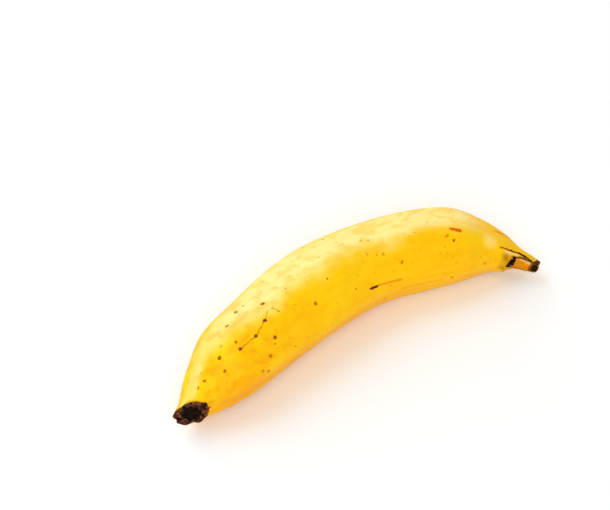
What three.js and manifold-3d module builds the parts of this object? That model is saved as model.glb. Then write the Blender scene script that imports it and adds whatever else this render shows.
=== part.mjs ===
// A ripe plantain, a single fruit parted from its bunch, lying on one of its five faces.
// Millimetres, +Z up. The blossom end is at -X, the torn stem at +X, and the bow's hollow side faces -Y.
// The fruit is turned first as a straight spindle. Its faces are then pressed in, its two ends are
// slanted and roughened, and the whole is bent along its bow.

import * as THREE from "three";
import { mergeVertices } from "three/addons/utils/BufferGeometryUtils.js";
import Module from "manifold-3d";

// Driving dimensions
const length = 257; // along the middle line, from the blossom scar to the stem's end
const thickness = 48; // across two opposite faces at the thickest place

// The bow: degrees that the middle line has turned, at distances along the fruit
const turned = [
  [0, 0],
  [32, 13],
  [68, 17],
  [124, 26.5],
  [174, 46.5],
  [209, 53.5],
  [236, 79.5],
  [length, 108.5],
];

// Half thickness to the faces, as a share of the thickest, at distances along the fruit
const girth = [
  [0, 0.315],
  [4, 0.325],
  [8, 0.36],
  [13, 0.42],
  [24, 0.58],
  [42, 0.82],
  [68, 0.91],
  [106, 1.0],
  [152, 0.935],
  [187, 0.915],
  [207, 0.825],
  [222, 0.61],
  [234, 0.42],
  [244, 0.26],
  [length, 0.19],
];

// The blossom scar is a shallow bowl with a nub in it: [share of the rim's radius, depth]
const scarBowl = [
  [0, 1.6],
  [0.16, 1.9],
  [0.3, 3.0],
  [0.52, 2.8],
  [0.72, 1.1],
  [0.88, 0.1],
];
// The skin is torn off one side of the stem, and the core stands bare there:
// [share of the stem's radius, share of the way from the skin's torn edge to the core's end]
const bareCore = [
  [0.9, -0.03],
  [0.8, 0.02],
  [0.76, 0.2],
  [0.75, 0.4],
  [0.74, 0.6],
  [0.72, 0.8],
  [0.64, 0.94],
  [0.42, 1.0],
  [0.2, 0.97],
  [0, 0.96],
];

// The five faces: the direction that each looks in, in degrees from the outside of the bow over the top
const faceDirections = [70, 142, 200, 270, 350];
const ridgeSharpness = { middle: 7, ends: 11 };
const scarRound = { amount: 0.8, reach: 16 }; // how far the faces fade into a round section at the scar
const tipTwist = 16; // degrees that the ridges turn over towards the blossom end
const twistReach = 0.4; // share of the length over which they turn

// The underside leaves the surface towards both ends: height at the end, and where the climb starts
const tipRise = { height: 7, from: 0.3 };
const stemRise = { height: 7.5, from: 0.68 };
const flatDepth = 0.5; // how far the resting face is pressed flat

// The blossom scar leans: how far along the fruit, and the direction that it looks in
const scarSlant = { length: 12, toward: 160, reach: 34 };
// The tear in the stem's skin: its length, how much later it starts on its upper side, the direction
// that it looks in, the angles from there at which it starts to close and is closed, how far the core
// ends short of the skin, and its lip
const tear = { length: 19, slant: 4, toward: 180, opens: 64, closes: 100, coreShort: 3, reach: 45, lip: 1 };
const lipBend = 8; // the higher, the closer to the edge the lip starts to curl
// The dried rims: how far they stand in and out, and the waves they do so in, as
// [waves round the rim, share of the height, where the first one starts in radians]
const roughRim = { scar: 0.55, tear: 0.9 };
const scarLobes = 0.07; // how far the scar's lobes stand out, as a share of its radius
const rimWaves = [
  [5, 0.6, 0.6],
  [9, 0.4, 2.1],
];

// Fineness of the mesh
const sides = 48;
const bodyRings = 60;
const ringCrowding = 0.09; // how much closer together the rings stand at the two ends
const bowSteps = 60;

const halfThickness = thickness / 2;
const clamp01 = (x) => THREE.MathUtils.clamp(x, 0, 1);
const radians = THREE.MathUtils.degToRad;

// A smooth line through stations, [distance along the fruit, value], read at any distance.
function readAt(stations, along) {
  const last = stations.length - 1;
  let k = stations.findIndex(([at]) => at > along) - 1;
  if (k < 0) k = along <= stations[0][0] ? 0 : last - 1;
  const slope = (i) => {
    const [a, b] = [stations[Math.max(i - 1, 0)], stations[Math.min(i + 1, last)]];
    return (b[1] - a[1]) / (b[0] - a[0]);
  };
  const [[x0, y0], [x1, y1]] = [stations[k], stations[k + 1]];
  const span = x1 - x0;
  const t = clamp01((along - x0) / span);
  return (
    (2 * t ** 3 - 3 * t ** 2 + 1) * y0 +
    (t ** 3 - 2 * t ** 2 + t) * span * slope(k) +
    (3 * t ** 2 - 2 * t ** 3) * y1 +
    (t ** 3 - t ** 2) * span * slope(k + 1)
  );
}

function halfThicknessAt(along) {
  return readAt(girth, along) * halfThickness;
}

// The middle line seen from above, with its two ends level on X.
function bowLine() {
  const points = [new THREE.Vector3()];
  for (let i = 0; i < bowSteps; i++) {
    const heading = -radians(readAt(turned, ((i + 0.5) / bowSteps) * length));
    const step = new THREE.Vector3(Math.cos(heading), Math.sin(heading), 0);
    points.push(points[i].clone().addScaledVector(step, length / bowSteps));
  }
  const slope = Math.atan2(points[bowSteps].y, points[bowSteps].x);
  points.forEach((point) => point.applyAxisAngle(new THREE.Vector3(0, 0, 1), -slope));
  return new THREE.CatmullRomCurve3(points);
}

const bow = bowLine();

// Outline of a section with flat faces and rounded ridges, as a share of its half thickness.
function faceted(angle, share) {
  const { middle, ends } = ridgeSharpness;
  const power = THREE.MathUtils.lerp(middle, ends, Math.abs(2 * share - 1) ** 3);
  const turn = radians(tipTwist) * clamp01((twistReach - share) / twistReach);
  const sum = faceDirections.reduce(
    (total, d) => total + Math.max(0, Math.cos(angle + turn - radians(d))) ** power,
    0,
  );
  return sum ** (-1 / power);
}

// How far the section's lowest point lies below its middle, as a share of its half thickness.
function reachDown(share) {
  let lowest = 0;
  for (let step = 0; step < sides; step++) {
    const angle = (step / sides) * 2 * Math.PI;
    lowest = Math.max(lowest, -faceted(angle, share) * Math.sin(angle));
  }
  return lowest;
}

// How high the underside stands over the surface.
function riseAt(share) {
  const tip = clamp01((tipRise.from - share) / tipRise.from) ** 2;
  const stem = clamp01((share - stemRise.from) / (1 - stemRise.from)) ** 2;
  return tip * tipRise.height + stem * stemRise.height;
}

// The dried rims are uneven all round.
function uneven(angle) {
  return rimWaves.reduce(
    (total, [waves, share, start]) => total + share * Math.sin(waves * angle + start),
    0,
  );
}

// How far along the fruit the skin's torn edge lies.
function tornEdge(angle) {
  const away = angle - radians(tear.toward);
  const shut = THREE.MathUtils.smoothstep(
    Math.acos(Math.cos(away)),
    radians(tear.opens),
    radians(tear.closes),
  );
  const depth = tear.length + tear.slant * Math.min(0, Math.sin(away));
  return length - depth * (1 - shut) + roughRim.tear * uneven(angle + 1);
}

// The straight spindle's profile, from the middle of the scar round the skin to the core's end.
// The core's points lie beyond the spindle's end, by their share of the way to the core's end.
function spindleProfile() {
  const profile = scarBowl.map(
    ([share, depth]) => new THREE.Vector2(share * halfThicknessAt(0), depth),
  );
  for (let i = 0; i <= bodyRings; i++) {
    // rings stand closer together at the two ends
    const even = i / bodyRings;
    const along = length * (even - Math.sin(2 * Math.PI * even) * ringCrowding);
    profile.push(new THREE.Vector2(halfThicknessAt(along), along));
  }
  bareCore.forEach(([share, way]) =>
    profile.push(new THREE.Vector2(share * halfThicknessAt(length), length + 1 + way)),
  );
  return profile;
}

// Where a point of the spindle comes to lie along the fruit, and its distance from the middle line
// before the faces are pressed in.
function stretched(point, radius, angle) {
  if (point.y < scarSlant.reach) {
    const near = 1 - point.y / scarSlant.reach;
    const rimShare = Math.min(1, radius / halfThicknessAt(0));
    const lean = 1 + Math.cos(angle - radians(scarSlant.toward)) * rimShare;
    const wave = uneven(angle) * clamp01(1 - point.y / scarRound.reach) ** 3;
    return {
      along: point.y + (scarSlant.length / 2) * lean * near ** 2 - roughRim.scar * wave * rimShare,
      distance: radius * (1 + scarLobes * wave),
    };
  }
  const edge = tornEdge(angle);
  if (point.y > length) {
    const along = THREE.MathUtils.lerp(edge, length - tear.coreShort, point.y - length - 1);
    return { along, distance: (radius / halfThicknessAt(length)) * halfThicknessAt(Math.max(along, edge)) };
  }
  // the skin is drawn back to its torn edge, and its lip curls out where the tear is open
  const near = clamp01(1 - (length - point.y) / tear.reach);
  const along = point.y - (length - edge) * near;
  const open = clamp01((length - edge) / tear.length);
  return { along, distance: halfThicknessAt(along) + tear.lip * open * near ** lipBend };
}

// Moves one point of the straight spindle to its place on the fruit.
function shapePoint(point) {
  const radius = Math.hypot(point.x, point.z);
  const angle = Math.atan2(point.x, point.z);
  const { along, distance } = stretched(point, radius, angle);
  const share = clamp01(along / length);
  const roundness = scarRound.amount * clamp01(1 - point.y / scarRound.reach);
  const reach = distance * THREE.MathUtils.lerp(faceted(angle, share), 1, roundness);

  const centre = bow.getPointAt(share);
  const forward = bow.getTangentAt(share);
  const out = reach * Math.cos(angle);
  return new THREE.Vector3(
    centre.x - forward.y * out,
    centre.y + forward.x * out,
    halfThicknessAt(along) * reachDown(share) + riseAt(share) + reach * Math.sin(angle),
  );
}

function bentFruit() {
  const geometry = new THREE.LatheGeometry(spindleProfile(), sides);
  const position = geometry.getAttribute("position");
  const point = new THREE.Vector3();
  for (let i = 0; i < position.count; i++) {
    point.fromBufferAttribute(position, i);
    position.setXYZ(i, ...shapePoint(point).toArray());
  }
  return closed(geometry);
}

// Only positions are kept, and shared corners are merged, so that the surface is closed.
function closed(geometry) {
  geometry.deleteAttribute("normal");
  geometry.deleteAttribute("uv");
  return mergeVertices(geometry, 1e-4);
}

const wasm = await Module();
wasm.setup();

function toSolid(geometry) {
  return new wasm.Manifold(
    new wasm.Mesh({
      numProp: 3,
      vertProperties: new Float32Array(geometry.getAttribute("position").array),
      triVerts: new Uint32Array(geometry.index.array),
    }),
  );
}

function toGeometry(solid) {
  const mesh = solid.getMesh();
  const geometry = new THREE.BufferGeometry();
  geometry.setAttribute("position", new THREE.BufferAttribute(mesh.vertProperties, 3));
  geometry.setIndex(new THREE.BufferAttribute(mesh.triVerts, 1));
  geometry.computeVertexNormals();
  return geometry;
}

// Presses the underside flat where it lies, and puts the origin under the middle of the fruit's box.
function laidDown(geometry) {
  const room = new THREE.BoxGeometry(3 * length, 3 * length, length);
  room.translate(0, 0, flatDepth + length / 2);
  const cut = toGeometry(toSolid(geometry).intersect(toSolid(closed(room))));
  cut.computeBoundingBox();
  const middle = cut.boundingBox.getCenter(new THREE.Vector3());
  return cut.translate(-middle.x, -middle.y, -flatDepth);
}

function plantain() {
  const material = new THREE.MeshStandardMaterial({ color: 0xf2bd1c, roughness: 0.5, metalness: 0 });
  const mesh = new THREE.Mesh(laidDown(bentFruit()), material);
  mesh.name = "plantain";
  return mesh;
}

const group = new THREE.Group();
group.add(plantain());

export default group;
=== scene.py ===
import math

import bmesh
import bpy
import numpy as np
from mathutils import Matrix, Vector, noise


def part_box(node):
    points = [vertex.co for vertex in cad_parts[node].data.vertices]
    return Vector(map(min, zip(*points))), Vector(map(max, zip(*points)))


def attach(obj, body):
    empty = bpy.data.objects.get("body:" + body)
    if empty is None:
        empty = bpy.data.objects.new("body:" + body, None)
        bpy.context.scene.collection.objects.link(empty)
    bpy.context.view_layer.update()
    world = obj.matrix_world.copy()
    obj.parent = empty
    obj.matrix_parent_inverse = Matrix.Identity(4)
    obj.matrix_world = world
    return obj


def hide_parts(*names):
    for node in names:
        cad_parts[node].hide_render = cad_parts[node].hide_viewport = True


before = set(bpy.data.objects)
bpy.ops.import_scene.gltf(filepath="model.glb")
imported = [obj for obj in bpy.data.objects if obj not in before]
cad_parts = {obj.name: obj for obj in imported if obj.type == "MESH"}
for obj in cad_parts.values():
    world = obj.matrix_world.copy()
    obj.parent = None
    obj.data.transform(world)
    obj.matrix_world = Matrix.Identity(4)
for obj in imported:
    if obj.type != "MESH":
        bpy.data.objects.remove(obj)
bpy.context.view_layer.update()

# A single ripe plantain lying on its belly. Sizes are in millimetres and angles in degrees, unless a
# note says metres. Angles round the fruit start at the outside of the bow and go over the top.
mm = 0.001
lowCorner, highCorner = (np.array(corner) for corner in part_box("plantain"))

# The whole fruit: same driving sizes as the solid, with many more rings. At distances from the blossom end,
# the lists give how far the bow has turned and the share of the full thickness
fruit = {
    "length": 257,
    "thickness": 48,
    "turned": [(0, 0), (32, 13), (68, 17), (124, 26.5), (174, 46.5), (209, 53.5), (236, 79.5),
               (257, 108.5)],
    "girth": [(0, 0.315), (4, 0.325), (8, 0.36), (13, 0.42), (24, 0.58), (42, 0.82), (68, 0.91),
              (106, 1.0), (152, 0.935), (187, 0.915), (207, 0.825), (222, 0.61), (234, 0.42),
              (244, 0.26), (257, 0.19)],
    "faces": [70, 142, 200, 270, 350],
    "sharpMiddle": 7,  # how sharp the ridges are
    "sharpEnds": 11,
    "tipTwist": 16,
    "twistReach": 0.4,
    "tipRise": 7,
    "tipRiseFrom": 0.3,
    "stemRise": 7.5,
    "stemRiseFrom": 0.68,
    "flatDepth": 0.5,
    "sides": 224,
    "rings": 320,
    "ringCrowding": 0.09,  # how much closer the rings stand at both ends
    "bowSteps": 800,
    "dents": 0.16,  # soft hollows all over the peel
    "dentSize": 17,
    "dentStretch": (0.55, 1, 1),
    "dentsFromScar": (6, 30),  # from where the dents start to where they are full
    "dentsFromStem": (12, 40),
}

# The dried scar at the blossom end
scar = {
    "bowl": [(0, 1.6), (0.16, 1.9), (0.3, 3.0), (0.52, 2.8), (0.72, 1.1), (0.88, 0.1)],
    "lean": 12,
    "toward": 160,
    "reach": 34,
    "rough": 0.55,
    "lobes": 0.07,
    "round": 0.8,
    "roundReach": 16,
    "rim": 0.985,
    "deepest": 4,
    "crumple": 0.5,
    "crumpleSize": 2.2,
    "crumpleStretch": (0.5, 1, 1),
    "crumpleReach": (5, 10),
    "flakes": 0.4,
    "flakeSize": 1.7,
    "flakeReach": (1, 5),
    "rings": 22,
}

# The stem, with its skin torn off one side of the core. The core's pairs are a share of its radius and of
# the way to its end
stem = {
    "core": [(0.9, -0.03), (0.8, 0.02), (0.76, 0.2), (0.75, 0.4), (0.74, 0.6), (0.72, 0.8), (0.64, 0.94),
             (0.42, 1.0), (0.2, 0.97), (0, 0.96)],
    "tear": 19,
    "slant": 4,
    "toward": 180,
    "opens": 64,
    "closes": 100,
    "coreShort": 3,
    "reach": 45,
    "lip": 1,
    "rough": 0.9,
    "ragged": 0.5,
    "raggedSize": 1.6,
    "raggedRing": 9,
    "coreOffset": 1,  # the core's points start this far past the skin's, to be told apart
    "rings": 44,
}


def smooth(value, start, end):
    t = np.clip((value - start) / (end - start), 0, 1)
    return t * t * (3 - 2 * t)


# A smooth line through stations, read at distances along the fruit
def readAt(stations, along):
    at, given = np.array(stations).T
    last = len(at) - 1
    before, after = np.maximum(np.arange(last + 1) - 1, 0), np.minimum(np.arange(last + 1) + 1, last)
    slope = (given[after] - given[before]) / (at[after] - at[before])
    k = np.clip(np.searchsorted(at, along, side="right") - 1, 0, last - 1)
    span = at[k + 1] - at[k]
    t = np.clip((along - at[k]) / span, 0, 1)
    value = (2 * t**3 - 3 * t**2 + 1) * given[k] + (t**3 - 2 * t**2 + t) * span * slope[k]
    return value + (3 * t**2 - 2 * t**3) * given[k + 1] + (t**3 - t**2) * span * slope[k + 1]


def halfThickness(along):
    return readAt(fruit["girth"], along) * fruit["thickness"] / 2


def faceted(angle, share):
    power = fruit["sharpMiddle"] + (fruit["sharpEnds"] - fruit["sharpMiddle"]) * np.abs(2 * share - 1) ** 3
    reach = fruit["twistReach"]
    turned = angle + np.radians(fruit["tipTwist"]) * np.clip((reach - share) / reach, 0, 1)
    total = 0
    for face in fruit["faces"]:
        total = total + np.maximum(0, np.cos(turned - np.radians(face))) ** power
    return total ** (-1 / power)


def reachDown(share):
    shares = np.linspace(0, 1, 300)[:, None]
    angles = np.linspace(0, 2 * np.pi, 97)[None]
    lowest = (-faceted(angles, shares) * np.sin(angles)).max(1)
    return np.interp(share, shares[:, 0], lowest)


def riseAt(share):
    tip = np.clip((fruit["tipRiseFrom"] - share) / fruit["tipRiseFrom"], 0, 1) ** 2 * fruit["tipRise"]
    start = fruit["stemRiseFrom"]
    return tip + np.clip((share - start) / (1 - start), 0, 1) ** 2 * fruit["stemRise"]


def uneven(angle):
    return 0.6 * np.sin(5 * angle + 0.6) + 0.4 * np.sin(9 * angle + 2.1)


def lumps(points, size, seed):
    shift = Vector((seed * 7.3, seed * 3.1, seed * 5.7))
    return np.array([noise.noise(Vector(point) / size + shift) for point in points])


def tornEdge(angle):
    away = angle - math.radians(stem["toward"])
    opened = 1 - smooth(np.degrees(np.arccos(np.cos(away))), stem["opens"], stem["closes"])
    depth = stem["tear"] + stem["slant"] * np.minimum(0, np.sin(away))
    ring = stem["raggedRing"] * np.stack([np.cos(angle), np.sin(angle), 0 * angle], 1)
    edge = fruit["length"] - depth * opened + stem["rough"] * uneven(angle + 1)
    return edge + stem["ragged"] * lumps(ring, stem["raggedSize"], 4)


def spindleProfile():
    length = fruit["length"]
    ways = np.linspace(0, 0.999, scar["rings"])
    shares, depths = np.array(scar["bowl"] + [(1, 0)]).T
    points = [(share * halfThickness(0.0), np.interp(share, shares, depths)) for share in ways]
    for even in np.linspace(0, 1, fruit["rings"] + 1):
        along = length * (even - math.sin(2 * math.pi * even) * fruit["ringCrowding"])
        points.append((float(halfThickness(along)), along))
    shares, ways = np.array([(1, -0.06)] + stem["core"]).T
    for place in np.linspace(0.25, len(shares) - 1, stem["rings"]):
        share = np.interp(place, range(len(shares)), shares)
        way = np.interp(place, range(len(shares)), ways)
        points.append((share * float(halfThickness(length)), length + stem["coreOffset"] + way))
    return points


def spinSpindle():
    turned = bmesh.new()
    points = [turned.verts.new((radius, 0, along)) for radius, along in spindleProfile()]
    edges = [turned.edges.new(pair) for pair in zip(points, points[1:])]
    bmesh.ops.spin(turned, geom=points + edges, cent=(0, 0, 0), axis=(0, 0, 1), dvec=(0, 0, 0),
                   angle=2 * math.pi, steps=fruit["sides"], use_merge=True, use_duplicate=False)
    bmesh.ops.remove_doubles(turned, verts=turned.verts, dist=1e-5)
    bmesh.ops.recalc_face_normals(turned, faces=turned.faces)
    return turned


def scarPlace(station, radius, angle):
    near = 1 - station / scar["reach"]
    rimShare = np.minimum(1, radius / halfThickness(0.0))
    lean = 1 + np.cos(angle - math.radians(scar["toward"])) * rimShare
    wave = uneven(angle) * np.clip(1 - station / scar["roundReach"], 0, 1) ** 3
    along = station + scar["lean"] / 2 * lean * near**2 - scar["rough"] * wave * rimShare
    return along, radius * (1 + scar["lobes"] * wave)


def stemPlace(station, radius, angle):
    length = fruit["length"]
    edge = tornEdge(angle)
    near = np.clip(1 - (length - station) / stem["reach"], 0, 1)
    along = station - (length - edge) * near
    opened = np.clip((length - edge) / stem["tear"], 0, 1)
    distance = halfThickness(along) + stem["lip"] * opened * near**8
    core = station > length + stem["coreOffset"] / 2
    coreAlong = edge + (length - stem["coreShort"] - edge) * (station - length - stem["coreOffset"])
    coreDistance = radius / halfThickness(float(length)) * halfThickness(np.maximum(coreAlong, edge))
    return np.where(core, coreAlong, along), np.where(core, coreDistance, distance), edge


def bowLine(share):
    count = fruit["bowSteps"]
    steps = np.linspace(0, 1, count + 1)
    middle = (steps[1:] + steps[:-1]) / 2
    heading = -np.radians(readAt(fruit["turned"], middle * fruit["length"]))
    line = np.zeros((count + 1, 2))
    line[1:, 0], line[1:, 1] = np.cumsum(np.cos(heading)), np.cumsum(np.sin(heading))
    line *= fruit["length"] / count
    slope = math.atan2(line[-1, 1], line[-1, 0])
    level = line @ np.array([[math.cos(slope), -math.sin(slope)], [math.sin(slope), math.cos(slope)]])
    ways = -np.radians(readAt(fruit["turned"], share * fruit["length"])) - slope
    x, y = (np.interp(share, steps, level[:, k]) for k in (0, 1))
    return x, y, np.cos(ways), np.sin(ways)


def bendFruit(mesh):
    count = len(mesh.vertices)
    start = np.zeros(count * 3)
    mesh.vertices.foreach_get("co", start)
    start = start.reshape(-1, 3)
    station, radius = start[:, 2], np.hypot(start[:, 0], start[:, 1])
    angle = np.arctan2(start[:, 1], start[:, 0])
    scarAlong, scarDistance = scarPlace(station, radius, angle)
    stemAlong, stemDistance, edge = stemPlace(station, radius, angle)
    inScar = station < scar["reach"]
    along = np.where(inScar, scarAlong, stemAlong)
    distance = np.where(inScar, scarDistance, stemDistance)
    share = np.clip(along / fruit["length"], 0, 1)
    roundness = scar["round"] * np.clip(1 - station / scar["roundReach"], 0, 1)
    outline = faceted(angle, share)
    reach = distance * (outline + (1 - outline) * roundness)

    rimAlong = scar["lean"] / 2 * (1 + np.cos(angle - math.radians(scar["toward"])))
    inBowl = (station < scar["deepest"]) & (radius < scar["rim"] * halfThickness(0.0))
    fromScar = np.where(inBowl, radius / halfThickness(0.0) - 1, np.maximum(0, along - rimAlong))

    # what the solid leaves out: soft dents in the peel and the crumpled skin of the dried scar
    straight = np.stack([along, reach * np.cos(angle), reach * np.sin(angle)], 1)
    body = smooth(along, *fruit["dentsFromScar"])
    body = body * smooth(fruit["length"] - along, *fruit["dentsFromStem"])
    dents = lumps(straight * fruit["dentStretch"], fruit["dentSize"], 1)
    crumple = lumps(straight * scar["crumpleStretch"], scar["crumpleSize"], 2) * (radius > 0.5)
    crumple = crumple * (1 - smooth(station, *scar["crumpleReach"]))
    reach = reach + fruit["dents"] * body * dents + scar["crumple"] * crumple
    flakes = (1 - smooth(station, *scar["flakeReach"])) * lumps(straight, scar["flakeSize"], 3)
    along = along + scar["flakes"] * flakes
    straight = np.stack([along, reach * np.cos(angle), reach * np.sin(angle)], 1)

    share = np.clip(along / fruit["length"], 0, 1)
    x, y, forwardX, forwardY = bowLine(share)
    height = halfThickness(along) * reachDown(share) + riseAt(share) - fruit["flatDepth"]
    placed = np.stack([x - forwardY * straight[:, 1], y + forwardX * straight[:, 1],
                       np.maximum(0, height + straight[:, 2])], 1)
    middle = (placed.min(0) + placed.max(0)) / 2
    placed[:, :2] -= middle[:2]
    placed = placed * mm
    placed[:, :2] += ((lowCorner + highCorner) / 2)[:2]
    placed = np.clip(placed, lowCorner, highCorner)
    mesh.vertices.foreach_set("co", placed.ravel())

    # the fruit before it was bent, for patterns that run along the peel, then how far it is to the torn
    # edge and from the scar's rim, and the share of the way along the bare core
    keep(mesh, "straight", "FLOAT_VECTOR", "vector", straight * mm)
    keep(mesh, "toTear", "FLOAT", "value", edge - along)
    keep(mesh, "fromScar", "FLOAT", "value", fromScar)
    keep(mesh, "coreWay", "FLOAT", "value", station - fruit["length"] - stem["coreOffset"])


def keep(mesh, name, kind, field, values):
    layer = mesh.attributes.new(name, kind, "POINT")
    layer.data.foreach_set(field, np.asarray(values, np.float32).ravel())


def buildPlantain():
    turned = spinSpindle()
    mesh = bpy.data.meshes.new("ripePlantain")
    turned.to_mesh(mesh)
    turned.free()
    bendFruit(mesh)
    mesh.polygons.foreach_set("use_smooth", [True] * len(mesh.polygons))
    mesh.update()
    plantain = bpy.data.objects.new("ripePlantain", mesh)
    bpy.context.scene.collection.objects.link(plantain)
    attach(plantain, "root")
    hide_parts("plantain")
    print("plantain built:", len(mesh.vertices), "points")
    return plantain


# Node helpers
def addNode(tree, kind, sockets=None, **settings):
    made = tree.nodes.new("ShaderNode" + kind)
    for name, value in settings.items():
        setattr(made, name, value)
    for name, value in (sockets or {}).items():
        if isinstance(value, bpy.types.NodeSocket):
            tree.links.new(value, made.inputs[name])
        else:
            made.inputs[name].default_value = value
    return made


def doMath(tree, operation, first, second=0.0, clamp=False):
    return addNode(tree, "Math", {0: first, 1: second}, operation=operation, use_clamp=clamp).outputs[0]


def scaleAndAdd(tree, value, factor, added):
    return addNode(tree, "Math", {0: value, 1: factor, 2: added}, operation="MULTIPLY_ADD").outputs[0]


def fade(tree, value, start, end):
    made = addNode(tree, "MapRange", {"Value": value, "From Min": start, "From Max": end},
                   interpolation_type="SMOOTHSTEP")
    return made.outputs["Result"]


def blendColors(tree, amount, first, second):
    return addNode(tree, "Mix", {0: amount, 6: first, 7: second}, data_type="RGBA").outputs[2]


# A place pushed about by noise, so that edges drawn there wander
def wander(tree, place, scale, detail, amount):
    push = addNode(tree, "TexNoise", {"Vector": place, "Scale": scale, "Detail": detail}).outputs[1]
    push = addNode(tree, "VectorMath", {0: push, 1: (0.5, 0.5, 0.5)}, operation="SUBTRACT").outputs[0]
    push = addNode(tree, "VectorMath", {0: push, "Scale": amount}, operation="SCALE").outputs[0]
    return addNode(tree, "VectorMath", {0: place, 1: push}, operation="ADD").outputs[0]


def newGroup(name, inputs, outputs):
    group = bpy.data.node_groups.new(name, "ShaderNodeTree")
    for direction, sockets in (("INPUT", inputs), ("OUTPUT", outputs)):
        for label, kind, *default in sockets:
            socket = group.interface.new_socket(label, in_out=direction, socket_type="NodeSocket" + kind)
            if default:
                socket.default_value = default[0]
    return group, group.nodes.new("NodeGroupInput").outputs, group.nodes.new("NodeGroupOutput").inputs


def useGroup(tree, group, sockets):
    return addNode(tree, "Group", sockets, node_tree=group).outputs


def color(red, green, blue):
    def linear(level):
        level = level / 255
        return level / 12.92 if level <= 0.04045 else ((level + 0.055) / 1.055) ** 2.4
    return (linear(red), linear(green), linear(blue), 1)


# Long soft streaks along the fruit, 0 to 1
def makeStreaks():
    group, given, result = newGroup(
        "peelStreaks",
        [("Place", "Vector"), ("Scale", "Float", 300), ("Stretch", "Float", 0.08),
         ("Detail", "Float", 3)],
        [("Value", "Float")])
    stretch = addNode(group, "CombineXYZ", {"X": given["Stretch"], "Y": 1.0, "Z": 1.0}).outputs[0]
    place = addNode(group, "VectorMath", {0: given["Place"], 1: stretch}, operation="MULTIPLY").outputs[0]
    value = addNode(group, "TexNoise", {"Vector": place, "Scale": given["Scale"],
                                        "Detail": given["Detail"], "Roughness": 0.55}).outputs[0]
    group.links.new(fade(group, value, 0.3, 0.7), result["Value"])
    return group


# Round freckles of random size, where a cell's point lies close to the peel
def makeFreckles():
    group, given, result = newGroup(
        "peelFreckles",
        [("Place", "Vector"), ("Spacing", "Float", 0.009), ("Size", "Float", 0.0007),
         ("Soft", "Float", 0.4)],
        [("Mask", "Float")])
    place = wander(group, given["Place"], 1400.0, 2.0, 0.0011)
    scale = doMath(group, "DIVIDE", 1.0, given["Spacing"])
    cell = addNode(group, "TexVoronoi", {"Vector": place, "Scale": scale, "Randomness": 1.0})
    distance = doMath(group, "MULTIPLY", cell.outputs["Distance"], given["Spacing"])
    inner = doMath(group, "MULTIPLY", given["Size"], given["Soft"])
    group.links.new(fade(group, distance, given["Size"], inner), result["Mask"])
    return group


# A bruise or scratch: all that lies within a width of the line between two points of the unbent fruit,
# at full strength within its core, a share of that width
def makeBruise():
    group, given, result = newGroup(
        "bruiseLine",
        [("Place", "Vector"), ("From", "Vector"), ("To", "Vector"), ("Width", "Float", 0.001),
         ("Core", "Float", 0.35), ("Strength", "Float", 1)],
        [("Mask", "Float")])

    def vector(operation, first, second):
        return addNode(group, "VectorMath", {0: first, 1: second}, operation=operation)
    line = vector("SUBTRACT", given["To"], given["From"]).outputs[0]
    away = vector("SUBTRACT", given["Place"], given["From"]).outputs[0]
    way = doMath(group, "DIVIDE", vector("DOT_PRODUCT", away, line).outputs["Value"],
                 doMath(group, "ADD", vector("DOT_PRODUCT", line, line).outputs["Value"], 1e-9), clamp=True)
    nearest = addNode(group, "VectorMath", {0: line, "Scale": way}, operation="SCALE").outputs[0]
    distance = vector("DISTANCE", away, nearest).outputs["Value"]
    mask = fade(group, distance, given["Width"], doMath(group, "MULTIPLY", given["Width"], given["Core"]))
    group.links.new(doMath(group, "MULTIPLY", mask, given["Strength"]), result["Mask"])
    return group


# The peel: ripe yellow, mottled and streaked, freckled and bruised, with a painted highlight on its upper
# face and painted shade on its lower faces. Pairs run from where a tone starts to where it is full: radians
# round the fruit, or metres along it unless a note says otherwise. Noise scales are per metre
peel = {
    "yellow": color(255, 208, 0),
    "paleYellow": color(255, 218, 30),
    "cream": color(254, 233, 150),
    "deepYellow": color(255, 190, 0),
    "orange": color(246, 150, 4),
    "green": color(176, 176, 10),
    "rust": color(150, 92, 8),
    "olive": color(170, 112, 8),
    "freckle": color(122, 60, 0),
    "faintFreckle": color(228, 140, 0),
    "bruise": color(76, 26, 0),
    "redBruise": color(222, 84, 4),
    # painted highlight: where the cream band on the upper face starts and ends, round the fruit and along
    # it
    "highlightBack": (0.35, 0.75),
    "highlightFront": (1.94, 1.3),
    "highlightEnds": (0.228, 0.206),
    "highlightNarrows": (0.07, 0.02),
    # painted shade: the lower faces turn orange
    "underside": (0.45, -0.35),  # by how far up the peel faces
    "riper": (0.09, 0.2),
    "orangeSpots": (0.1, 0.03),
    "greenFlush": (0.236, 0.256),
    "rustRing": (3.0, 0.8),  # millimetres from the scar
    "broadScale": 34.0,
    "patchScale": 60.0,
    "patchShift": (0.031, 0.017, 0.023),
    "mottleScale": 130.0,
    "poreScale": 1900.0,
    "wideStreaks": {"Scale": 260.0, "Stretch": 0.1},
    "fineStreaks": {"Scale": 1500.0, "Stretch": 0.05, "Detail": 4.0},
    "smallFreckles": {"Spacing": 0.0095, "Size": 0.0009},
    "faintFreckles": {"Spacing": 0.0055, "Size": 0.0011},
    "markWander": 0.0022,
    "roughness": 0.45,
    "coat": 0.05,
}

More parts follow.
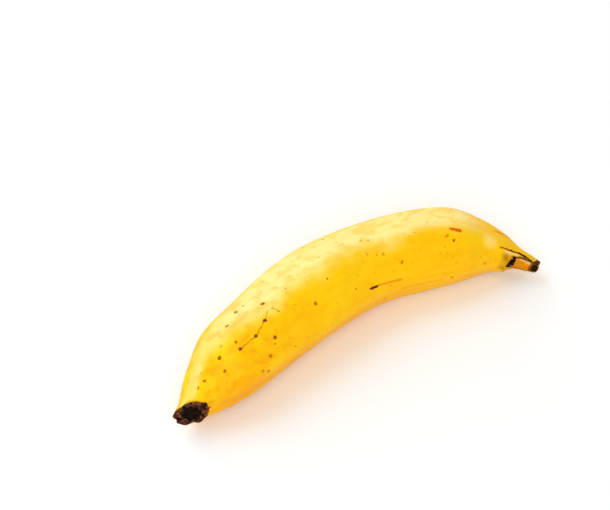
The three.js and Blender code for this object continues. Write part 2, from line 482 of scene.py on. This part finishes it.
# Marks, by the peel's colour for them: from and to, each a place along the fruit and an angle round it,
# then half width and strength
marks = {
    "yellow": {
        "upperNeck": [(200, 112), (231, 104), 12, 0.9],
    },
    "orange": {
        "lowNearScar": [(21, 172), (47, 190), 10, 0.5],
        "aboveIt": [(30, 150), (46, 166), 6, 0.35],
    },
    "cream": {
        "besideTip": [(11.5, 78), (26, 60), 3.5, 0.5],
        "nearStem": [(225, 109), (227, 104), 7, 0.55],
        "overTear": [(237.2, 116.5), (244, 108), 2, 1.0],
    },
    "olive": {
        # painted shade: olive-brown on the peel just before the tear
        "shadeBeforeTear": [(238, 140), (237, 180), 6, 0.9],
        "besideScar": [(11.8, 139.5), (14.5, 146.5), 4, 1.0],
    },
    "redBruise": {
        "redMark": [(199.3, 101), (204.6, 104.8), 1.8, 0.95],
        "redSpeck": [(194.8, 111.5), (196.2, 110.4), 1.1, 0.6],
        "neckStreak": [(229.5, 52), (233, 46), 1.3, 0.55],
        "neckStreakEnd": [(233.8, 43), (236.5, 38), 1.0, 0.5],
        "dashTail": [(143.5, 156), (161.5, 160.5), 1.1, 0.5],
        "ridgeLine": [(161, 179), (190, 184), 1.0, 0.3],
    },
    "bruise": {
        "longDash": [(136.8, 155.5), (142.4, 156), 1.25, 0.8],
        "scratchStart": [(44, 109.5), (55.5, 111), 0.7, 0.28],
        "scratchMiddle": [(55.5, 111), (66, 103), 0.8, 0.28],
        "scratchEnd": [(66, 103), (71.5, 95.5), 0.7, 0.25],
        "shortDash": [(74, 97), (75.8, 108), 0.8, 0.3],
        "crackStart": [(233.5, 112), (239.5, 105), 0.9, 0.5],
        "crackMiddle": [(239.5, 105), (245.2, 82.5), 0.9, 0.85],
        "crackEnd": [(245.2, 82.5), (253, 86), 1.4, 0.95],
    },
}

# Single specks: place along the fruit, angle round it, radius, strength
specks = [
    (44, 109.5, 1.6, 0.9), (55.5, 111, 1.7, 1.0), (65.8, 103, 1.6, 1.0), (73.8, 79.5, 1.7, 0.8),
    (64.8, 130.5, 1.7, 0.8), (97, 129, 1.7, 0.6), (51, 61, 1.6, 0.7), (61.8, 51, 1.6, 0.6),
    (44.5, 98.5, 1.5, 0.55), (33, 93.5, 1.6, 0.75), (20, 92, 1.7, 0.7), (15.5, 83.5, 1.9, 0.85),
    (30.5, 115, 1.5, 0.55), (56.5, 150, 1.6, 0.5), (47.8, 161.5, 1.4, 0.4), (142.8, 107.5, 1.5, 0.25),
    (152.8, 115, 1.6, 0.3), (164, 134.5, 1.6, 0.4), (199.5, 118.5, 1.5, 0.65), (222.8, 165.5, 1.7, 0.4),
    (196.5, 183.5, 1.7, 0.4), (148.5, 192, 1.7, 0.35), (145.8, 79.5, 1.7, 0.25), (51.5, 170.5, 1.6, 0.5),
]


def onPeel(along, angle):
    turned = np.array(math.radians(angle))
    share = np.array(along / fruit["length"])
    reach = float(halfThickness(float(along)) * faceted(turned, share))
    return (along * mm, reach * math.cos(turned) * mm, reach * math.sin(turned) * mm)


def makePeel():
    group, given, result = newGroup(
        "ripePeel",
        [("Place", "Vector"), ("Along", "Float"), ("FromScar", "Float")],
        [("Color", "Color"), ("Roughness", "Float"), ("Height", "Float")])
    place = given["Place"]
    streaks, freckles, bruise = makeStreaks(), makeFreckles(), makeBruise()

    # broad mottling with orange patches, then wide and fine streaks along the fruit
    broad = addNode(group, "TexNoise", {"Vector": place, "Scale": peel["broadScale"], "Detail": 3.0})
    broad = broad.outputs[0]
    tone = blendColors(group, fade(group, broad, 0.35, 0.68), peel["yellow"], peel["deepYellow"])
    shifted = addNode(group, "VectorMath", {0: place, 1: peel["patchShift"]}, operation="ADD").outputs[0]
    patchy = addNode(group, "TexNoise", {"Vector": shifted, "Scale": peel["patchScale"], "Detail": 4.0,
                                         "Roughness": 0.6})
    patchy = fade(group, patchy.outputs[0], 0.54, 0.74)
    tone = blendColors(group, doMath(group, "MULTIPLY", patchy, 0.5), tone, peel["orange"])
    # painted shade: the faces that look down turn orange, more so away from the tip
    inward = addNode(group, "VectorMath", {0: place, 1: (0, 1, 1)}, operation="MULTIPLY").outputs[0]
    inward = addNode(group, "VectorMath", {0: inward}, operation="NORMALIZE").outputs[0]
    under = fade(group, addNode(group, "SeparateXYZ", {0: inward}).outputs[2], *peel["underside"])
    riper = fade(group, given["Along"], *peel["riper"])
    under = doMath(group, "MULTIPLY", under, scaleAndAdd(group, riper, 0.3, 0.58))
    tone = blendColors(group, under, tone, peel["orange"])
    tone = blendColors(group, doMath(group, "MULTIPLY", riper, 0.9), tone, peel["deepYellow"])
    mottled = addNode(group, "TexNoise", {"Vector": shifted, "Scale": peel["mottleScale"], "Detail": 4.0})
    mottled = fade(group, mottled.outputs[0], 0.38, 0.55)
    orangeSpots = scaleAndAdd(group, fade(group, given["Along"], *peel["orangeSpots"]), 0.42, 0.12)
    orangeSpots = doMath(group, "MULTIPLY", doMath(group, "SUBTRACT", 1.0, mottled), orangeSpots)
    tone = blendColors(group, orangeSpots, tone, peel["orange"])
    wide = useGroup(group, streaks, {"Place": place, **peel["wideStreaks"]})["Value"]
    tone = blendColors(group, doMath(group, "MULTIPLY", wide, 0.35), tone, peel["paleYellow"])
    fine = useGroup(group, streaks, {"Place": place, **peel["fineStreaks"]})["Value"]
    tone = blendColors(group, doMath(group, "MULTIPLY", fine, 0.16), tone, peel["deepYellow"])

    # painted highlight: a cream band, the broad sheen of the lamps on the waxy peel, on the face between
    # the two upper ridges
    parts = addNode(group, "SeparateXYZ", {0: place}).outputs
    around = doMath(group, "ARCTAN2", parts[2], parts[1])
    around = doMath(group, "ADD", around, doMath(group, "SUBTRACT", broad, 0.5))
    nearTip = doMath(group, "MULTIPLY", fade(group, given["Along"], *peel["highlightNarrows"]), 0.55)
    paintedHighlight = doMath(group, "MULTIPLY", fade(group, around, *peel["highlightBack"]),
                   fade(group, doMath(group, "ADD", around, nearTip), *peel["highlightFront"]))
    paintedHighlight = doMath(group, "MULTIPLY", paintedHighlight, fade(group, given["Along"], *peel["highlightEnds"]))
    paintedHighlight = doMath(group, "MULTIPLY", paintedHighlight, doMath(group, "SUBTRACT", 1.0, nearTip))
    paintedHighlight = doMath(group, "MULTIPLY", paintedHighlight, scaleAndAdd(group, wide, 0.2, 0.75))
    paintedHighlight = doMath(group, "MULTIPLY", paintedHighlight, scaleAndAdd(group, mottled, 0.45, 0.55))
    tone = blendColors(group, paintedHighlight, tone, peel["cream"])

    # a green flush where the fruit runs into its stem, and rust behind the scar
    flush = addNode(group, "TexNoise", {"Vector": place, "Scale": 90.0, "Detail": 3.0}).outputs[0]
    nearStem = doMath(group, "ADD", given["Along"], scaleAndAdd(group, flush, 0.03, -0.015))
    nearStem = fade(group, nearStem, *peel["greenFlush"])
    nearScar = doMath(group, "ADD", given["FromScar"], scaleAndAdd(group, flush, 8.0, -4.0))
    tone = blendColors(group, doMath(group, "MULTIPLY", nearStem, 0.45), tone, peel["green"])
    nearScar = doMath(group, "MULTIPLY", fade(group, nearScar, *peel["rustRing"]), 0.7)
    tone = blendColors(group, nearScar, tone, peel["rust"])

    # freckles, small and dark or larger and faint
    small = useGroup(group, freckles, {"Place": place, **peel["smallFreckles"]})["Mask"]
    faint = useGroup(group, freckles, {"Place": shifted, **peel["faintFreckles"]})["Mask"]
    tone = blendColors(group, doMath(group, "MULTIPLY", faint, 0.4), tone, peel["faintFreckle"])
    tone = blendColors(group, doMath(group, "MULTIPLY", small, 0.8), tone, peel["faintFreckle"])
    tone = blendColors(group, doMath(group, "MULTIPLY", small, 0.45), tone, peel["freckle"])

    # specks and bruises, each at its own place, with edges that wander a little
    wandering = wander(group, place, 500.0, 3.0, peel["markWander"])

    def worstOf(lines, core=0.35):
        worst = 0.0
        for start, end, width, strength in lines:
            drawn = useGroup(group, bruise, {
                "Place": wandering, "From": onPeel(*start), "To": onPeel(*end),
                "Width": width * mm, "Core": core, "Strength": strength})
            worst = doMath(group, "MAXIMUM", worst, drawn["Mask"])
        return worst
    for name in ("yellow", "orange", "cream", "olive"):
        patch = worstOf(marks[name].values(), 0.0)
        patch = doMath(group, "MULTIPLY", patch, scaleAndAdd(group, mottled, 0.5, 0.5))
        tone = blendColors(group, patch, tone, peel[name])
    tone = blendColors(group, worstOf(marks["redBruise"].values()), tone, peel["redBruise"])
    speckled = worstOf([[(along, angle), (along, angle), *size] for along, angle, *size in specks])
    bruised = worstOf(marks["bruise"].values())
    halo = fade(group, doMath(group, "MAXIMUM", speckled, bruised), 0.0, 0.4)
    tone = blendColors(group, halo, tone, peel["faintFreckle"])
    tone = blendColors(group, fade(group, speckled, 0.16, 1.0), tone, peel["freckle"])
    tone = blendColors(group, fade(group, bruised, 0.1, 0.85), tone, peel["bruise"])
    sunken = doMath(group, "MAXIMUM", bruised, doMath(group, "MULTIPLY", speckled, 0.5))

    group.links.new(tone, result["Color"])
    rough = scaleAndAdd(group, broad, 0.12, peel["roughness"] - 0.06)
    group.links.new(scaleAndAdd(group, sunken, 0.2, rough), result["Roughness"])
    pores = addNode(group, "TexNoise", {"Vector": place, "Scale": peel["poreScale"], "Detail": 2.0})
    height = scaleAndAdd(group, pores.outputs[0], 0.25, doMath(group, "MULTIPLY", fine, 0.2))
    height = scaleAndAdd(group, sunken, -0.5, height)
    group.links.new(height, result["Height"])
    return group


# Dead dry skin on the scar and along the torn edge, black in the scar's hollow
driedSkin = {
    "black": color(10, 5, 4),
    "brown": color(66, 33, 16),
    "purple": color(116, 64, 40),
    "tan": color(160, 110, 58),
    "hollow": (-0.24, -0.44),  # shares of the scar's radius, in from its rim
    "patchScale": 190.0,
    "flakeScale": 480.0,
    "relief": 2.2,
    "roughness": 0.7,
}


def makeDriedSkin():
    group, given, result = newGroup(
        "driedSkin",
        [("Place", "Vector"), ("FromScar", "Float")],
        [("Color", "Color"), ("Roughness", "Float"), ("Height", "Float")])
    place = given["Place"]
    patches, flakes = (
        addNode(group, "TexNoise", {"Vector": place, "Scale": driedSkin[name], "Detail": 5.0,
                                    "Roughness": 0.6}).outputs[0] for name in ("patchScale", "flakeScale"))
    tone = blendColors(group, fade(group, patches, 0.44, 0.54), driedSkin["black"], driedSkin["brown"])
    tone = blendColors(group, fade(group, flakes, 0.47, 0.57), tone, driedSkin["purple"])
    light = fade(group, flakes, 0.57, 0.66)
    tone = blendColors(group, doMath(group, "MULTIPLY", light, 0.7), tone, driedSkin["tan"])
    hollow = doMath(group, "ADD", given["FromScar"], scaleAndAdd(group, patches, 1.4, -0.7))
    hollow = doMath(group, "MULTIPLY", fade(group, hollow, *driedSkin["hollow"]), 0.95)
    tone = blendColors(group, hollow, tone, driedSkin["black"])
    group.links.new(tone, result["Color"])
    rough = scaleAndAdd(group, flakes, 0.2, driedSkin["roughness"] - 0.1)
    group.links.new(rough, result["Roughness"])
    height = scaleAndAdd(group, flakes, 0.5, patches)
    group.links.new(doMath(group, "MULTIPLY", height, driedSkin["relief"]), result["Height"])
    return group


# The stem's core, moist and fibrous, with a pale border along the skin above it. Where the tear starts lies
# brown skin, then a band of black shreds: their places are shares of the core's length
bareCore = {
    "orange": color(232, 150, 0),
    "deepOrange": color(206, 116, 0),
    "brown": color(150, 92, 6),
    "peach": color(248, 182, 94),
    "skin": color(206, 140, 20),
    "end": color(64, 28, 8),
    "shreds": color(20, 8, 4),
    "endFrom": (0.2532, 0.2544),  # metres along the fruit
    "shredsFrom": 0.08,
    "shredsTo": 0.3,
    "border": (1.0, 1.2),  # radians round the fruit from the side that is torn
    "low": (-0.1, -0.9),
    "fibres": {"Scale": 900.0, "Stretch": 0.12, "Detail": 3.0},
    "patchScale": 420.0,
    "roughness": 0.5,
}


def makeBareCore():
    group, given, result = newGroup(
        "bareCore",
        [("Place", "Vector"), ("Way", "Float")],
        [("Color", "Color"), ("Roughness", "Float"), ("Height", "Float")])
    fibres = useGroup(group, bpy.data.node_groups["peelStreaks"],
                      {"Place": given["Place"], **bareCore["fibres"]})["Value"]
    patches = addNode(group, "TexNoise", {"Vector": given["Place"], "Scale": bareCore["patchScale"],
                                          "Detail": 4.0}).outputs[0]
    parts = addNode(group, "SeparateXYZ", {0: given["Place"]}).outputs
    around = doMath(group, "ARCTAN2", parts[2], doMath(group, "MULTIPLY", parts[1], -1.0))
    around = doMath(group, "ADD", around, scaleAndAdd(group, patches, 0.5, -0.25))
    tone = blendColors(group, fibres, bareCore["deepOrange"], bareCore["orange"])
    tone = blendColors(group, fade(group, around, *bareCore["low"]), tone, bareCore["brown"])
    tone = blendColors(group, fade(group, around, *bareCore["border"]), tone, bareCore["peach"])
    tone = blendColors(group, fade(group, parts[0], *bareCore["endFrom"]), tone, bareCore["end"])
    way = doMath(group, "ADD", given["Way"], scaleAndAdd(group, patches, 0.3, -0.15))
    shreds = fade(group, way, bareCore["shredsTo"] + 0.03, bareCore["shredsTo"] - 0.03)
    tone = blendColors(group, shreds, tone, bareCore["shreds"])
    before = fade(group, way, bareCore["shredsFrom"] + 0.02, bareCore["shredsFrom"] - 0.02)
    tone = blendColors(group, before, tone, bareCore["skin"])
    group.links.new(tone, result["Color"])
    group.links.new(scaleAndAdd(group, fibres, 0.15, bareCore["roughness"]), result["Roughness"])
    height = scaleAndAdd(group, fibres, 1.2, doMath(group, "MULTIPLY", patches, 1.5))
    group.links.new(height, result["Height"])
    return group


# What all of the fruit's surface shares, and where the dead skin ends
surface = {
    "specular": 0.05,
    "coatRoughness": 0.3,
    "subsurface": 0.08,
    "subsurfaceReach": (0.004, 0.0025, 0.0008),  # metres
    "bumpStrength": 0.5,
    "bumpHeight": 0.0002,
    "raggedScale": 420.0,
    "scarEdge": (2.2, 1.2),
    "tearEdge": (0.4, -0.4),
    "tearWidens": (0.242, 0.253),  # metres along the fruit
}


def paintPlantain(plantain):
    material = bpy.data.materials.new("ripePlantain")
    material.use_nodes = True
    tree = material.node_tree
    shader = tree.nodes["Principled BSDF"]
    place = addNode(tree, "Attribute", attribute_name="straight").outputs["Vector"]
    along = addNode(tree, "SeparateXYZ", {0: place}).outputs[0]
    fromScar, toTear, way = (addNode(tree, "Attribute", attribute_name=name).outputs["Fac"]
                             for name in ("fromScar", "toTear", "coreWay"))
    core = fade(tree, way, -0.02, 0.04)
    skin = useGroup(tree, makePeel(), {"Place": place, "Along": along, "FromScar": fromScar})
    dried = useGroup(tree, makeDriedSkin(), {"Place": place, "FromScar": fromScar})
    bare = useGroup(tree, makeBareCore(), {"Place": place, "Way": way})

    # where the skin is dead: on the scar, and close to the torn edge, most of all towards the stem's end
    ragged = addNode(tree, "TexNoise", {"Vector": place, "Scale": surface["raggedScale"],
                                        "Detail": 4.0}).outputs[0]
    onScar = doMath(tree, "ADD", fromScar, scaleAndAdd(tree, ragged, 4.0, -2.0))
    onScar = fade(tree, onScar, *surface["scarEdge"])
    band = scaleAndAdd(tree, fade(tree, along, *surface["tearWidens"]), 2.5, -0.6)
    tornAway = doMath(tree, "ADD", toTear, scaleAndAdd(tree, ragged, 2.4, -1.2))
    atTear = fade(tree, doMath(tree, "SUBTRACT", tornAway, band), *surface["tearEdge"])
    dead = doMath(tree, "MAXIMUM", onScar, atTear)
    dead = doMath(tree, "MULTIPLY", dead, doMath(tree, "SUBTRACT", 1.0, core))

    tone = blendColors(tree, core, skin["Color"], bare["Color"])
    tone = blendColors(tree, dead, tone, dried["Color"])
    tree.links.new(tone, shader.inputs["Base Color"])

    def mixFloat(name):
        first = addNode(tree, "Mix", {0: core, 2: skin[name], 3: bare[name]}, data_type="FLOAT")
        second = {0: dead, 2: first.outputs[0], 3: dried[name]}
        return addNode(tree, "Mix", second, data_type="FLOAT").outputs[0]
    tree.links.new(mixFloat("Roughness"), shader.inputs["Roughness"])
    bump = addNode(tree, "Bump", {"Height": mixFloat("Height"), "Strength": surface["bumpStrength"],
                                  "Distance": surface["bumpHeight"]})
    tree.links.new(bump.outputs[0], shader.inputs["Normal"])
    shader.inputs["Subsurface Weight"].default_value = surface["subsurface"]
    shader.inputs["Subsurface Radius"].default_value = surface["subsurfaceReach"]
    shader.inputs["Specular IOR Level"].default_value = surface["specular"]
    waxy = doMath(tree, "SUBTRACT", 1.0, doMath(tree, "MAXIMUM", core, dead))
    tree.links.new(doMath(tree, "MULTIPLY", waxy, peel["coat"]), shader.inputs["Coat Weight"])
    shader.inputs["Coat Roughness"].default_value = surface["coatRoughness"]
    plantain.data.materials.append(material)
    print("plantain painted")


# The studio: a white floor, warm pale surroundings and broad soft lights. Places and sizes in metres
studio = {
    "floorSize": 6.0,
    "floor": color(252, 251, 252),
    "floorRoughness": 0.7,
    "surroundings": (1.0, 0.905, 0.78),
    "surroundingsPower": 0.7,
}
lamps = {
    "keyLight": {"place": (-0.5, 0.8, 1.25), "size": 1.2, "power": 10.2, "tint": (0.57, 0.79, 1.0)},
    "backGlow": {"place": (0.1, 1.3, 0.5), "size": 0.7, "power": 3, "tint": (1.0, 1.0, 1.0)},
    "frontFill": {"place": (-0.7, -1.1, 1.3), "size": 1.6, "power": 11.5, "tint": (0.86, 0.94, 1.0)},
}

# The camera looks down on the fruit from the front left, as in the photograph
photo = {
    "width": 610,  # pixels
    "height": 510,
    "lens": 85,
    "sensor": 36,
    "azimuth": -28.1,
    "elevation": 52,
    "distance": 845,
    "target": (-1.4, -9.3, 21.5),
    "targetX": 345.8,  # where the target shows in the photograph, in pixels
    "targetY": 306.2,
}


def buildFloor():
    plan = bmesh.new()
    bmesh.ops.create_grid(plan, x_segments=1, y_segments=1, size=studio["floorSize"] / 2)
    mesh = bpy.data.meshes.new("studioFloor")
    plan.to_mesh(mesh)
    plan.free()
    floor = bpy.data.objects.new("studioFloor", mesh)
    bpy.context.scene.collection.objects.link(floor)
    material = bpy.data.materials.new("whiteFloor")
    material.use_nodes = True
    shader = material.node_tree.nodes["Principled BSDF"]
    shader.inputs["Base Color"].default_value = studio["floor"]
    shader.inputs["Roughness"].default_value = studio["floorRoughness"]
    mesh.materials.append(material)


def buildLights():
    for name, wanted in lamps.items():
        light = bpy.data.lights.new(name, "AREA")
        light.shape = "DISK"
        light.size, light.energy, light.color = wanted["size"], wanted["power"], wanted["tint"]
        lamp = bpy.data.objects.new(name, light)
        lamp.location = wanted["place"]
        lamp.rotation_euler = (-Vector(wanted["place"])).to_track_quat("-Z", "Y").to_euler()
        bpy.context.scene.collection.objects.link(lamp)
    world = bpy.data.worlds.new("paleSurroundings")
    world.use_nodes = True
    background = world.node_tree.nodes["Background"]
    background.inputs["Color"].default_value = (*studio["surroundings"], 1)
    background.inputs["Strength"].default_value = studio["surroundingsPower"]
    bpy.context.scene.world = world
    bpy.context.scene.view_settings.view_transform = "Standard"
    print("studio lit")


def buildCamera():
    turn, tilt = math.radians(photo["azimuth"]), math.radians(photo["elevation"])
    back = Vector((math.sin(turn) * math.cos(tilt), -math.cos(turn) * math.cos(tilt), math.sin(tilt)))
    right = Vector((math.cos(turn), math.sin(turn), 0))
    up = back.cross(right)
    pixels = photo["lens"] / photo["sensor"] * photo["width"]
    across = (photo["targetX"] - photo["width"] / 2) / pixels
    down = (photo["targetY"] - photo["height"] / 2) / pixels
    eye = Vector(photo["target"]) + photo["distance"] * (back - across * right + down * up)
    lens = bpy.data.cameras.new("photoCamera")
    lens.lens = photo["lens"]
    lens.sensor_width = photo["sensor"]
    lens.clip_start = 0.01
    camera = bpy.data.objects.new("photoCamera", lens)
    axes = Matrix((right, up, back)).transposed()
    camera.matrix_world = Matrix.Translation(eye * mm) @ axes.to_4x4()
    bpy.context.scene.collection.objects.link(camera)
    bpy.context.scene.camera = camera
    print("camera placed")


plantain = buildPlantain()
paintPlantain(plantain)
buildFloor()
buildLights()
buildCamera()
